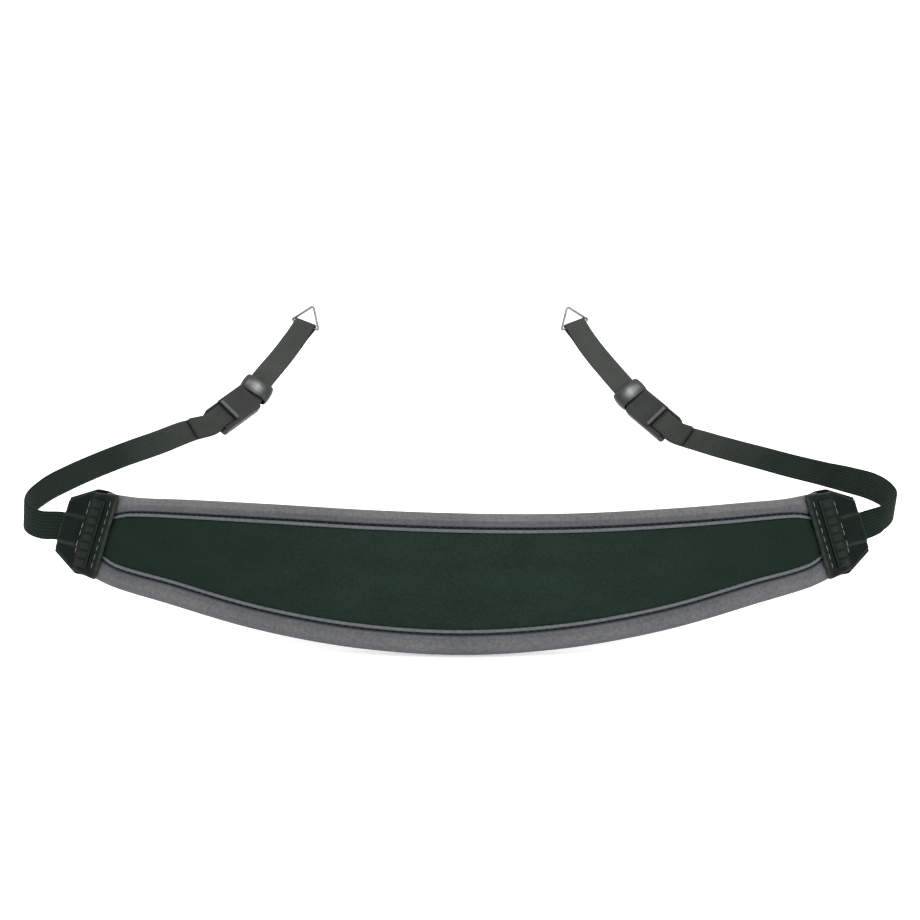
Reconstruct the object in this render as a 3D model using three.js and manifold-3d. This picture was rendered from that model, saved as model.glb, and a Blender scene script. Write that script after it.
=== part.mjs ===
// Camera neck strap: a curved padded neck piece with stitched end tabs, and at each end a narrow
// webbing that runs back through an adjuster and a keeper and folds over a triangular ring.
// Millimetres, +Z up. The origin lies midway between the two rings and about 1 mm below their
// highest points; +X runs to the strap's right end and the neck pad is towards -Y.
import * as THREE from 'three';
import { mergeVertices } from 'three/addons/utils/BufferGeometryUtils.js';
import Module from 'manifold-3d';

const wasm = await Module();
wasm.setup();

// ---- Driving dimensions -------------------------------------------------------------------
const GAP = 0.3; // air kept between neighbouring pieces

// The neck pad is bent on an upright cone; its face leans back.
const PAD = {
  middleX: 9, // the pad lies this far to the right of the rings' middle
  frontY: -274.4,
  baseZ: -58,
  bendRadius: 220,
  lean: THREE.MathUtils.degToRad(14.5),
  halfLength: 132.5, // along the bend, from the middle to the tab's inner edge
  endSlant: THREE.MathUtils.degToRad(12), // the ends' edges tip inward at the top by this much
  slantHeight: 22.8, // height at which the slanted ends keep their length
  halfThickness: 3,
  tongue: 5.5, // thinned end held between the tab's two leaves
  tongueHalfThickness: 1.1,
  thinning: 7, // distance before the pad's end at which it starts to thin
  recessFloor: 0.5, // front face of the foam under the panel
  uneven: 0.9, // the upper edge stands this much higher in the left half, lower in the right
};
// The rims' inner shoulder, as distances back from the groove and down from the pad's face.
const SHOULDER = { back: 1.2, drop: 0.35, lipBack: 0.3, lipDrop: 1.5 };
const PIPING = { radius: 0.65, fromGroove: 0.95, height: 1.75 };
const PANEL = {
  fromGroove: 1.9, back: 0.8, front: 2.6, edgeDrop: 0.5, edgeWidth: 0.8, crown: 0.35, crownFrom: 4,
};

// Half the pad's outline, from the middle (at 0) to the tab's inner edge (at 1): heights of the
// lower and the upper edge above the pad's base line, and widths of the two grey rims, from the
// edge to the stitched groove.
const padOutline = [
  { at: 0.0, low: -0.2, high: 45.6, lowRim: 6.6, highRim: 4.5 },
  { at: 0.25, low: 1.0, high: 45.4, lowRim: 6.6, highRim: 4.5 },
  { at: 0.5, low: 4.1, high: 44.9, lowRim: 6.6, highRim: 4.6 },
  { at: 0.75, low: 8.2, high: 43.4, lowRim: 6.7, highRim: 4.7 },
  { at: 0.93, low: 10.0, high: 41.5, lowRim: 6.5, highRim: 4.9 },
  { at: 1.0, low: 11.3, high: 41.2, lowRim: 7.4, highRim: 7.0 },
];

// The end tab: a six-sided leaf in front and a larger one behind.
const TAB = {
  overlap: 2.5, // the front leaf lies over the pad by this much
  overlapBehind: -0.6, // and the back leaf starts this much beyond the pad's end
  length: 22.4, // from the pad's end to the outer edge
  low: 11,
  high: 41.5,
  cornerAlongLow: 10.5, // where the lower edge turns up to the outer corner
  cornerAlongHigh: 11.5,
  outerLow: 17,
  outerHigh: 36.6,
  leaf: 1.3, // leather thickness
  overTongue: 0.1, // extra room over the pad's tongue
  closing: 5, // length over which the leaves close down on the webbing, past the tongue
  border: 1.6, // the back leaf shows this much past the front one at the outer end
  borderFrom: -1, // the border widens from here to there along the tab
  borderTo: 9,
  nearPad: 0.6, // the lower edge rises this much to meet the pad's
  backLower: 1.5, // the back leaf's upper edge drops this much there
  webbingHeight: 26.2, // height of the webbing's middle line
  webbingInside: 8, // the webbing's sewn end lies this far from the pad's end
};
const BAND = { from: 3, to: 9.4, low: 14.6, high: 38.4, thickness: 0.8 };

const WEBBING = {
  width: 9.8,
  thickness: 1,
  layerOffset: 0.66, // each layer's middle from the pair's middle plane
  foldRadius: 1.45, // middle line of the fold round the ring's wire
  foldRun: 7, // length over which the layers open to the fold
  layersPartAt: 150, // distance from the ring at which the run leaves the pair's middle plane
  layersPartRun: 60,
};
// The adjuster holds the webbing straight between points this far from the adjuster's middle, in
// half lengths of it, and the route's own points within clear of it are left out.
const HOLD = { near: 1.05, far: 1.27, clear: 1.6 };

const ADJUSTER = {
  length: 23,
  width: 13,
  lowered: 0.6, // its lower rail is wider than its upper one by twice this
  wall: 1.2, // plate and end bars
  bevel: 0.5,
  halfChannel: 1.46, // half the height of the webbing's way through
  channelWidth: 10.2,
  plateFrom: -3.6, // the plate covers the webbing from here towards the ring
  ridge: 0.7,
  ridgeWidth: 1.6,
  ridgeRoot: 0.4, // the ridge's depth in the plate
  endBar: 3.4,
  cornerRadius: 1.3,
};
const KEEPER = {
  length: 7.8,
  width: 13.4,
  height: 6.8,
  halfChannel: 1.85,
  channelWidth: 11.6,
  cornerRadius: 2.2,
  bevel: 0.6,
};
// Each ring stands on its bar and leans toward the point at topX and topZ, which it doesn't reach.
const RING = { wireRadius: 0.65, halfWidth: 7.6, cornerRadius: 0.9, topX: 63.6, topZ: 2.6 };

// Routes of the two webbings' middle line behind the tab, up to the ring. lean is the angle in
// degrees by which the webbing's upper edge tips outward from upright.
const routes = {
  left: [
    { x: -137.2, y: -215.6, z: -33, lean: -12 },
    { x: -143.9, y: -207.5, z: -33, lean: -7 },
    { x: -146, y: -196, z: -32.4, lean: -2 },
    { x: -142.8, y: -179, z: -31.6, lean: 2 },
    { x: -137.4, y: -160, z: -32.4, lean: 3 },
    { x: -130.6, y: -136, z: -34.4, lean: 4 },
    { x: -123, y: -111, z: -36.7, lean: 8 },
    { x: -114.5, y: -88, z: -38.6, lean: 20 },
    { x: -104.6, y: -70, z: -38.4, lean: 38 },
    { x: -93.6, y: -56, z: -36.3, lean: 48 },
    { x: -85.6, y: -44.5, z: -32.6, lean: 50 },
    { x: -77.7, y: -32, z: -26.2, lean: 55 },
    { x: -69.6, y: -19.6, z: -18, lean: 64 },
    { x: -60.6, y: -6, z: -7.4, lean: 72 },
  ],
  right: [
    { x: 154.8, y: -215.6, z: -30.6, lean: 4 },
    { x: 160.4, y: -207.5, z: -29.3, lean: 5 },
    { x: 161, y: -197, z: -28.8, lean: 8 },
    { x: 158, y: -183, z: -29.2, lean: 17 },
    { x: 152, y: -168, z: -30.9, lean: 28 },
    { x: 145.2, y: -153, z: -32.8, lean: 40 },
    { x: 136.3, y: -131, z: -35.9, lean: 40 },
    { x: 127.8, y: -111, z: -38.4, lean: 40 },
    { x: 118.6, y: -92, z: -40.5, lean: 40 },
    { x: 108.6, y: -75, z: -41.6, lean: 42 },
    { x: 98.8, y: -60.5, z: -40.4, lean: 42 },
    { x: 90, y: -48, z: -36.2, lean: 48 },
    { x: 82.6, y: -37.5, z: -30.4, lean: 52 },
    { x: 74, y: -27.2, z: -23.6, lean: 58 },
    { x: 66.4, y: -16.4, z: -16, lean: 64 },
    { x: 59.4, y: -6, z: -7.4, lean: 72 },
  ],
};

// Places of the fittings and of the webbing's free end, as distances from the ring's lower bar.
const fittings = {
  left: { keeper: 42, adjuster: 59.2, tailEnd: 84.5 },
  right: { keeper: 45.4, adjuster: 62.2, tailEnd: 85.6 },
};

// Spacing of the sections: along the pad between its ends' stretches, within those at distances
// from the tab's edge, along the tab, and along the webbing and its fold.
const STATIONS = {
  pad: 36,
  padEndStretch: 8,
  padEnd: [-6, -4, -2, 0, 2, 4],
  tab: [-1, 0, 2, 4, 5.5, 8, 10.5, 11.5, 15],
  webbingStep: 4,
  foldSteps: 8,
};

// ---- Materials ----------------------------------------------------------------------------
const material = (color, roughness, metalness = 0) =>
  new THREE.MeshStandardMaterial({ color, roughness, metalness });

const materials = {
  padGrey: material(0x6f6f6e, 0.95),
  panelBlack: material(0x26332d, 0.9),
  piping: material(0x757978, 0.85),
  leather: material(0x282f2a, 0.6),
  webbing: material(0x282e27, 0.85),
  plastic: material(0x3a3c39, 0.5),
  keeper: material(0x2f302f, 0.3),
  steel: material(0xb9bbbd, 0.3, 1),
};

// ---- Helpers ------------------------------------------------------------------------------
const smooth = (low, high, value) => THREE.MathUtils.smoothstep(value, low, high);

// Value of one column of a table, joined smoothly between its rows.
function column(rows, key, at) {
  const last = rows.length - 1;
  let i = 0;
  while (i < last - 1 && rows[i + 1].at < at) i += 1;
  const before = rows[Math.max(i - 1, 0)];
  const [a, b] = [rows[i], rows[i + 1]];
  const after = rows[Math.min(i + 2, last)];
  const step = b.at - a.at;
  const slopeA = i === 0 ? 0 : ((b[key] - before[key]) / (b.at - before.at)) * step;
  const slopeB = i + 1 === last
    ? (b[key] - a[key]) : ((after[key] - a[key]) / (after.at - a.at)) * step;
  const t = (at - a.at) / step;
  const [t2, t3] = [t * t, t * t * t];
  return (2 * t3 - 3 * t2 + 1) * a[key] + (t3 - 2 * t2 + t) * slopeA
    + (3 * t2 - 2 * t3) * b[key] + (t3 - t2) * slopeB;
}

const signedVolume = (geometry) => {
  const [position, index] = [geometry.attributes.position, geometry.index];
  const corner = [new THREE.Vector3(), new THREE.Vector3(), new THREE.Vector3()];
  let volume = 0;
  for (let i = 0; i < index.count; i += 3) {
    corner.forEach((v, k) => v.fromBufferAttribute(position, index.getX(i + k)));
    volume += corner[0].dot(corner[1].clone().cross(corner[2])) / 6;
  }
  return volume;
};

// Merges a geometry's corners, moves each through place(), and turns the faces outward.
function shaped(geometry, place = (v) => v) {
  geometry.deleteAttribute('normal');
  geometry.deleteAttribute('uv');
  const merged = mergeVertices(geometry, 1e-4);
  const position = merged.attributes.position;
  const v = new THREE.Vector3();
  for (let i = 0; i < position.count; i += 1) {
    v.copy(place(v.fromBufferAttribute(position, i)));
    position.setXYZ(i, v.x, v.y, v.z);
  }
  if (signedVolume(merged) < 0) merged.index.array.reverse();
  merged.computeVertexNormals();
  return merged;
}

// A closed profile pulled straight along Z from 0 to 1 in equal steps.
const pulled = (points, steps) => new THREE.ExtrudeGeometry(
  new THREE.Shape(points.map(([x, y]) => new THREE.Vector2(x, y))),
  { depth: 1, steps, bevelEnabled: false },
);

function solid(geometry) {
  const merged = shaped(geometry);
  return new wasm.Manifold(new wasm.Mesh({
    numProp: 3,
    vertProperties: new Float32Array(merged.attributes.position.array),
    triVerts: new Uint32Array(merged.index.array),
  }));
}

function fromSolid(body) {
  const mesh = body.getMesh();
  const geometry = new THREE.BufferGeometry();
  geometry.setAttribute('position', new THREE.BufferAttribute(mesh.vertProperties, 3));
  geometry.setIndex(new THREE.BufferAttribute(mesh.triVerts, 1));
  geometry.computeVertexNormals();
  return geometry;
}

const box = (sizeX, sizeY, sizeZ, x, y, z) =>
  solid(new THREE.BoxGeometry(sizeX, sizeY, sizeZ).translate(x, y, z));

function roundedRectangle(width, height, radius) {
  const [x, y] = [width / 2, height / 2];
  const shape = new THREE.Shape();
  shape.moveTo(x, y - radius);
  shape.absarc(x - radius, y - radius, radius, 0, Math.PI / 2);
  shape.absarc(radius - x, y - radius, radius, Math.PI / 2, Math.PI);
  shape.absarc(radius - x, radius - y, radius, Math.PI, 1.5 * Math.PI);
  shape.absarc(x - radius, radius - y, radius, 1.5 * Math.PI, 2 * Math.PI);
  return shape;
}

// ---- The pad's curved frame ---------------------------------------------------------------
// along runs from the strap's middle (0) to either end, negative to the left; height is measured
// up the leaning face from its base line, and out is the distance in front of the middle layer.
// Past the pad's end the surface runs on straight, which is where the tab lies.
function padPoint(along, height, out) {
  const side = Math.sign(along) || 1;
  const share = Math.min(1, Math.abs(along) / PAD.halfLength);
  const slanted = Math.abs(along)
    - Math.tan(PAD.endSlant) * share * share * (height - PAD.slantHeight);
  const turn = Math.min(slanted, PAD.halfLength) / PAD.bendRadius;
  const straight = Math.max(0, slanted - PAD.halfLength);
  const [s, c] = [Math.sin(turn), Math.cos(turn)];
  const [leanS, leanC] = [Math.sin(PAD.lean), Math.cos(PAD.lean)];
  return new THREE.Vector3(
    PAD.middleX + side * (PAD.bendRadius * s + straight * c
      + s * (out * leanC - height * leanS)),
    PAD.frontY + PAD.bendRadius * (1 - c) + straight * s
      - c * (out * leanC - height * leanS),
    PAD.baseZ + height * leanC + out * leanS,
  );
}

const outlineAt = (along) => {
  const at = Math.min(1, Math.abs(along) / PAD.halfLength);
  const row = Object.fromEntries(['low', 'high', 'lowRim', 'highRim']
    .map((key) => [key, column(padOutline, key, at)]));
  row.high -= Math.sign(along) * PAD.uneven * Math.sin(Math.PI * at);
  return row;
};

// Half the pad's thickness, thinned to a tongue where the tab's leaves close over it.
const padHalfThickness = (along) => {
  const beforeEnd = PAD.halfLength - Math.abs(along);
  const full = smooth(-PAD.tongue, PAD.thinning, beforeEnd);
  return THREE.MathUtils.lerp(PAD.tongueHalfThickness, PAD.halfThickness, full);
};

// Distances along the pad at which its sections stand: even between the tabs, closer together
// where the ends thin down. reach is how far the piece goes past (or stays short of) the tabs.
function padStations(reach) {
  const even = Array.from({ length: STATIONS.pad + 1 }, (_, i) =>
    (i / STATIONS.pad * 2 - 1) * (PAD.halfLength - STATIONS.padEndStretch));
  const end = STATIONS.padEnd.filter((beyond) => beyond < reach - 0.5).concat(reach)
    .map((beyond) => PAD.halfLength + beyond);
  return [...end.map((along) => -along).reverse(), ...even, ...end];
}

// A profile that keeps its own shape near both edges of the pad and stretches only between them.
// Each point is { edge, rim, in, out }: rim (0 to 1) is its share of the rim's width inward from
// the lower or the upper edge, in is a further distance inward, and out is in front of the middle.
function padSolid(profile, reach) {
  const stations = padStations(reach);
  const steps = stations.length - 1;
  const [half, rimWidth] = [50, 10]; // of the flat profile that is pulled and then shaped
  const flat = profile.map(({ edge, rim, in: inward, out }) => {
    const depth = rim * rimWidth + inward;
    return [edge === 'low' ? depth - half : half - depth, out];
  });
  const source = (v) => profile[flat.findIndex(([x, y]) =>
    Math.abs(x - v.x) < 1e-4 && Math.abs(y - v.y) < 1e-4)];
  return shaped(pulled(flat, steps), (v) => {
    const { edge, rim, in: inward, out } = source(v);
    const along = stations[Math.round(v.z * steps)];
    const { low, high, lowRim, highRim } = outlineAt(along);
    const height = edge === 'low'
      ? low + rim * lowRim + inward : high - rim * highRim - inward;
    const thin = padHalfThickness(along) / PAD.halfThickness;
    return padPoint(along, height, out * thin);
  });
}

// Points round one rim of the foam, from its back to the stitched groove.
function rimProfile(edge) {
  const h = PAD.halfThickness;
  const outer = [-90, -60, -30, 0, 30, 60, 90].map((degrees) => {
    const a = THREE.MathUtils.degToRad(degrees);
    return { edge, rim: 0, in: h * (1 - Math.cos(a)), out: h * Math.sin(a) };
  });
  return [
    ...outer,
    { edge, rim: 1, in: -SHOULDER.back, out: h - SHOULDER.drop },
    { edge, rim: 1, in: -SHOULDER.lipBack, out: h - SHOULDER.lipDrop },
    { edge, rim: 1, in: 0, out: PAD.recessFloor },
  ];
}

const neckPad = () =>
  padSolid([...rimProfile('low'), ...rimProfile('high').reverse()], PAD.tongue);

function centrePanel() {
  const { fromGroove, back, front, edgeDrop, edgeWidth, crown, crownFrom } = PANEL;
  const half = (edge) => [
    { edge, rim: 1, in: fromGroove, out: back },
    { edge, rim: 1, in: fromGroove, out: front - edgeDrop },
    { edge, rim: 1, in: fromGroove + edgeWidth, out: front },
    { edge, rim: 1, in: fromGroove + crownFrom, out: front + crown },
  ];
  return padSolid([...half('low'), ...half('high').reverse()], -GAP);
}

function piping(edge) {
  const sides = 6;
  const profile = Array.from({ length: sides }, (_, i) => {
    const a = ((i + 0.5) / sides) * 2 * Math.PI;
    return {
      edge,
      rim: 1,
      in: PIPING.fromGroove + PIPING.radius * Math.cos(a),
      out: PIPING.height + PIPING.radius * Math.sin(a),
    };
  });
  return padSolid(profile, -GAP);
}

// ---- End tabs -----------------------------------------------------------------------------
// How far the inside of a leaf stands off the tab's middle layer: it lies over the pad's tongue
// and then closes down on the webbing.
const leafInside = (beyond) => GAP + THREE.MathUtils.lerp(
  padHalfThickness(PAD.halfLength + beyond) + TAB.overTongue,
  WEBBING.thickness / 2,
  smooth(PAD.tongue, PAD.tongue + TAB.closing, beyond),
);

// Heights of the tab's lower and upper edge at a distance beyond the pad's end.
function tabEdges(beyond, border) {
  const reach = TAB.length - border;
  const inset = border * smooth(TAB.borderFrom, TAB.borderTo, beyond);
  const near = 1 - smooth(TAB.borderFrom, TAB.borderTo, beyond);
  const dropped = border ? 0 : TAB.backLower * near;
  const clip = (corner, edge, outer) =>
    THREE.MathUtils.lerp(edge, outer, Math.max(0, (beyond - corner) / (reach - corner)));
  return {
    low: clip(TAB.cornerAlongLow, TAB.low, TAB.outerLow) + inset + TAB.nearPad * near,
    high: clip(TAB.cornerAlongHigh, TAB.high, TAB.outerHigh) - inset / 2 - dropped,
  };
}

// A leaf of the tab. face is 1 in front and -1 behind.
function leaf(side, face, border) {
  const across = 4;
  const overlap = face === 1 ? TAB.overlap : TAB.overlapBehind;
  const stations = [-overlap, ...STATIONS.tab, TAB.length - border];
  if (face === -1) stations.splice(1, 1);
  const steps = stations.length - 1;
  const geometry = new THREE.BoxGeometry(1, 1, 1, steps, across, 1);
  return shaped(geometry, (v) => {
    const beyond = stations[Math.round((v.x + 0.5) * steps)];
    const { low, high } = tabEdges(beyond, border);
    const height = THREE.MathUtils.lerp(low, high, v.y + 0.5);
    const out = leafInside(beyond) + (v.z + 0.5) * TAB.leaf;
    return padPoint(side * (PAD.halfLength + beyond), height, face * out);
  });
}

function tabBand(side) {
  const steps = 4;
  const geometry = new THREE.BoxGeometry(1, 1, 1, steps, steps, 1);
  return shaped(geometry, (v) => {
    const beyond = THREE.MathUtils.lerp(BAND.from, BAND.to, v.x + 0.5);
    const height = THREE.MathUtils.lerp(BAND.low, BAND.high, v.y + 0.5);
    const out = leafInside(beyond) + TAB.leaf + GAP + (v.z + 0.5) * BAND.thickness;
    return padPoint(side * (PAD.halfLength + beyond), height, out);
  });
}

// ---- Webbing ------------------------------------------------------------------------------
// A smooth line through rows of { x, y, z, lean }, with the webbing's own axes at any distance
// from its end at the ring: towards (to the ring), across (up its width) and inner (out of the
// face towards the neck).
function leaningLine(rows, side) {
  const line = new THREE.CatmullRomCurve3(
    rows.map(({ x, y, z }) => new THREE.Vector3(x, y, z)), false, 'centripetal',
  );
  line.arcLengthDivisions = 600;
  const length = line.getLength();
  const frame = (fromRing) => {
    const u = THREE.MathUtils.clamp(1 - fromRing / length, 0, 1);
    const t = line.getUtoTmapping(u) * (rows.length - 1);
    const i = Math.min(Math.floor(t), rows.length - 2);
    const tilt = THREE.MathUtils.lerp(rows[i].lean, rows[i + 1].lean, t - i);
    const lean = THREE.MathUtils.degToRad(tilt);
    const towards = line.getTangentAt(u);
    const up = new THREE.Vector3(0, 0, 1).addScaledVector(towards, -towards.z).normalize();
    const upright = towards.clone().cross(up).multiplyScalar(-side);
    const across = up.clone().multiplyScalar(Math.cos(lean))
      .addScaledVector(upright, -Math.sin(lean));
    const inner = towards.clone().cross(across).multiplyScalar(-side);
    return { at: line.getPointAt(u), towards, across, inner, tilt };
  };
  return { side, length, frame };
}

// One side's webbing from inside the tab to the ring, held straight by its adjuster.
function webbingRoute(name) {
  const side = name === 'left' ? -1 : 1;
  const tabRow = (beyond) => {
    const { x, y, z } = padPoint(side * (PAD.halfLength + beyond), TAB.webbingHeight, 0);
    return { x, y, z, lean: -THREE.MathUtils.radToDeg(PAD.lean) };
  };
  const insideTab = [TAB.webbingInside, (TAB.webbingInside + TAB.length) / 2, TAB.length];
  const rows = [...insideTab.map(tabRow), ...routes[name]];
  const slack = leaningLine(rows, side);
  const held = slack.frame(fittings[name].adjuster);
  const halfLength = ADJUSTER.length / 2;
  const straight = [-HOLD.far, -HOLD.near, HOLD.near, HOLD.far].map((share) => {
    const { x, y, z } = held.at.clone().addScaledVector(held.towards, share * halfLength);
    return { x, y, z, lean: held.tilt };
  });
  const clear = (row) => held.at.distanceTo(row) > HOLD.clear * halfLength;
  const before = rows.filter((row) => clear(row) && row.y < held.at.y);
  const after = rows.filter((row) => clear(row) && row.y > held.at.y);
  return { ...leaningLine([...before, ...straight, ...after], side), held };
}

// Sections along the webbing: from the tab to the ring, round the ring's bar and back to the
// free end. Each has its middle, its width axis and the axis out of its outer face.
function webbingSections(route, tailEnd) {
  const { layerOffset, foldRadius, foldRun } = WEBBING;
  const opening = (fromRing) =>
    THREE.MathUtils.lerp(foldRadius, layerOffset, smooth(0, foldRun, fromRing));
  const section = (fromRing, offset, outward) => {
    const { at, across, inner } = route.frame(fromRing);
    return {
      middle: at.clone().addScaledVector(inner, offset),
      across,
      outward: inner.clone().multiplyScalar(outward),
    };
  };
  const steps = (length) => Math.round(length / STATIONS.webbingStep);
  const sections = [];
  const runSteps = steps(route.length);
  for (let i = 0; i <= runSteps; i += 1) {
    const fromRing = route.length * (1 - i / runSteps);
    const parted = 1 - smooth(WEBBING.layersPartAt, WEBBING.layersPartAt
      + WEBBING.layersPartRun, fromRing);
    sections.push(section(fromRing, -opening(fromRing) * parted, -1));
  }
  const { at, towards, across, inner } = route.frame(0);
  for (let i = 1; i < STATIONS.foldSteps; i += 1) {
    const a = (i / STATIONS.foldSteps) * Math.PI;
    const outward = towards.clone().multiplyScalar(Math.sin(a))
      .addScaledVector(inner, -Math.cos(a));
    sections.push({ middle: at.clone().addScaledVector(outward, foldRadius), across, outward });
  }
  const tailSteps = steps(tailEnd);
  for (let i = 0; i <= tailSteps; i += 1) {
    const fromRing = tailEnd * (i / tailSteps);
    sections.push(section(fromRing, opening(fromRing), 1));
  }
  return sections;
}

function webbing(route, tailEnd) {
  const sections = webbingSections(route, tailEnd);
  const steps = sections.length - 1;
  return shaped(new THREE.BoxGeometry(1, 1, 1, steps, 1, 1), (v) => {
    const { middle, across, outward } = sections[Math.round((v.x + 0.5) * steps)];
    return middle.clone()
      .addScaledVector(across, v.y * WEBBING.width)
      .addScaledVector(outward, v.z * WEBBING.thickness);
  });
}

// ---- Hard fittings ------------------------------------------------------------------------
// Local axes: x towards the ring on the left side and away from it on the right (dir), y across
// the webbing, z out of its inner face.
function adjuster(dir) {
  const { length, width, lowered, wall, bevel, halfChannel, channelWidth } = ADJUSTER;
  const height = 2 * (halfChannel + wall);
  const outer = new THREE.ExtrudeGeometry(
    roundedRectangle(length - 2 * bevel, width - 2 * bevel, ADJUSTER.cornerRadius),
    {
      depth: height - 2 * bevel, bevelEnabled: true, bevelSize: bevel, bevelThickness: bevel,
      bevelSegments: 1, curveSegments: 3,
    },
  ).translate(0, -lowered, bevel - height / 2);
  const { ridge, ridgeWidth, ridgeRoot, plateFrom, endBar } = ADJUSTER;
  const past = 1; // the cuts run this far past the outside
  const open = length / 2 + plateFrom + past;
  return fromSolid(solid(outer)
    .subtract(box(length + 2 * past, channelWidth, 2 * halfChannel, 0, 0, 0))
    .subtract(box(open, channelWidth, height, dir * (plateFrom - open / 2), 0, height / 2))
    .subtract(box(length - 2 * endBar, channelWidth, height, 0, 0, -height / 2))
    .add(box(ridgeWidth, channelWidth, ridge + ridgeRoot,
      dir * (plateFrom + ridgeWidth / 2), 0, height / 2 + (ridge - ridgeRoot) / 2)));
}

function keeper() {
  const { length, width, height, halfChannel, channelWidth, bevel } = KEEPER;
  const outer = new THREE.ExtrudeGeometry(
    roundedRectangle(width - 2 * bevel, height - 2 * bevel, KEEPER.cornerRadius),
    {
      depth: length - 2 * bevel, bevelEnabled: true, bevelSize: bevel, bevelThickness: bevel,
      bevelSegments: 2, curveSegments: 3,
    },
  ).translate(0, 0, bevel - length / 2);
  outer.rotateY(Math.PI / 2).rotateX(Math.PI / 2);
  return fromSolid(solid(outer)
    .subtract(box(length * 2, channelWidth, 2 * halfChannel, 0, 0, 0)));
}

// The ring's middle line: a rounded triangle with its lower bar on the local x axis.
function ring(height) {
  const { halfWidth, cornerRadius, wireRadius } = RING;
  const corners = [[-halfWidth, 0], [halfWidth, 0], [0, height]]
    .map(([x, y]) => new THREE.Vector2(x, y));
  const outline = new THREE.Path();
  corners.forEach((corner, i) => {
    const before = corners[(i + 2) % 3].clone().sub(corner).normalize();
    const after = corners[(i + 1) % 3].clone().sub(corner).normalize();
    const half = before.angleTo(after) / 2;
    const from = corner.clone().addScaledVector(before, cornerRadius / Math.tan(half));
    const to = corner.clone().addScaledVector(after, cornerRadius / Math.tan(half));
    if (i === 0) outline.moveTo(from.x, from.y);
    else outline.lineTo(from.x, from.y);
    outline.quadraticCurveTo(corner.x, corner.y, to.x, to.y);
  });
  outline.closePath();
  const [steps, sides] = [36, 8];
  const points = outline.getSpacedPoints(steps).slice(0, -1)
    .map(({ x, y }) => new THREE.Vector3(x, y, 0));
  const line = new THREE.CatmullRomCurve3(points, true);
  return shaped(new THREE.TubeGeometry(line, points.length, wireRadius, sides, true));
}

// ---- Assembly -----------------------------------------------------------------------------
const group = new THREE.Group();

function addMesh(name, geometry, finish) {
  const mesh = new THREE.Mesh(geometry, finish);
  mesh.name = name;
  group.add(mesh);
  return mesh;
}

// Stands a fitting on the webbing, with its axes along the webbing's own.
function standOnWebbing(mesh, { at, towards, across, inner }, dir) {
  const axes = new THREE.Matrix4()
    .makeBasis(towards.clone().multiplyScalar(dir), across, inner);
  mesh.setRotationFromMatrix(axes);
  mesh.position.copy(at);
}

addMesh('neck_pad', neckPad(), materials.padGrey);
addMesh('centre_panel', centrePanel(), materials.panelBlack);
addMesh('piping_lower', piping('low'), materials.piping);
addMesh('piping_upper', piping('high'), materials.piping);

for (const name of ['left', 'right']) {
  const route = webbingRoute(name);
  const { side } = route;
  const places = fittings[name];

  addMesh(`tab_back_${name}`, leaf(side, -1, 0), materials.leather);
  addMesh(`tab_front_${name}`, leaf(side, 1, TAB.border), materials.leather);
  addMesh(`tab_band_${name}`, tabBand(side), materials.leather);
  addMesh(`webbing_${name}`, webbing(route, places.tailEnd), materials.webbing);

  const slide = addMesh(`adjuster_${name}`, adjuster(-side), materials.plastic);
  standOnWebbing(slide, route.held, -side);
  const loop = addMesh(`keeper_${name}`, keeper(), materials.keeper);
  standOnWebbing(loop, route.frame(places.keeper), -side);

  const { at, across } = route.frame(0);
  const top = new THREE.Vector3(side * RING.topX, 0, RING.topZ);
  const rise = top.clone().sub(at);
  rise.addScaledVector(across, -rise.dot(across));
  const triangle = addMesh(`ring_${name}`, ring(rise.length()), materials.steel);
  const upward = rise.clone().normalize();
  triangle.setRotationFromMatrix(
    new THREE.Matrix4().makeBasis(across, upward, across.clone().cross(upward)),
  );
  triangle.position.copy(at);
}

export default group;
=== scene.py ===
"""A camera neck strap: a curved foam pad with a dark centre panel, stitched leather end tabs and
two woven webbings with their adjusters, keepers and lug rings. Tables are in millimetres."""

import bisect
import math
from collections import namedtuple

import bmesh
import bpy
from mathutils import Matrix, Vector, noise


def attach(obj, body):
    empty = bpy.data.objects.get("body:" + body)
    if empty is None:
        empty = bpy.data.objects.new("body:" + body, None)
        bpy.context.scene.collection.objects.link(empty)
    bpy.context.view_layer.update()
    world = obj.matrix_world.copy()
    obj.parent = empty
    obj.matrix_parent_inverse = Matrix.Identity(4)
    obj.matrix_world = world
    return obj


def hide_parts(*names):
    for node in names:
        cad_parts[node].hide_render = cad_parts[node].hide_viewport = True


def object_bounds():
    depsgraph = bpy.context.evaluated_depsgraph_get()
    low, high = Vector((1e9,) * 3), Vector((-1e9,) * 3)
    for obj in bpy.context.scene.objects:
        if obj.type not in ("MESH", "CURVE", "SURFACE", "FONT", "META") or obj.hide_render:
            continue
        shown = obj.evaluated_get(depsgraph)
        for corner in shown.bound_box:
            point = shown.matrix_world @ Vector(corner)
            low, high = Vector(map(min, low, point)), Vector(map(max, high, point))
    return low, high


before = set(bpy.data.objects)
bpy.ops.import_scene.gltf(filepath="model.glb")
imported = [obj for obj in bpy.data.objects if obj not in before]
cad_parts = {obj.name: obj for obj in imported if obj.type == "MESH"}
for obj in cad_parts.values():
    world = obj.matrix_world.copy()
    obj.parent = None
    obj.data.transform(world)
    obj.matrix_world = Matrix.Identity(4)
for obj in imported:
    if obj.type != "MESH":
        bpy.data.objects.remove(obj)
cad_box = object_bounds()

MM = 0.001

# ---- Sizes and places ---------------------------------------------------------------------

PAD_MIDDLE_X = 9
PAD_FRONT_Y = -274.4
PAD_BASE_Z = -58
BEND_RADIUS = 220
LEAN = math.radians(14.5)
HALF_LENGTH = 132.5
END_SLANT = math.radians(12)
SLANT_HEIGHT = 22.8
HALF_THICKNESS = 3
TONGUE = 5.5
TONGUE_HALF_THICKNESS = 1.1
UNEVEN = 0.9

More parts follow.
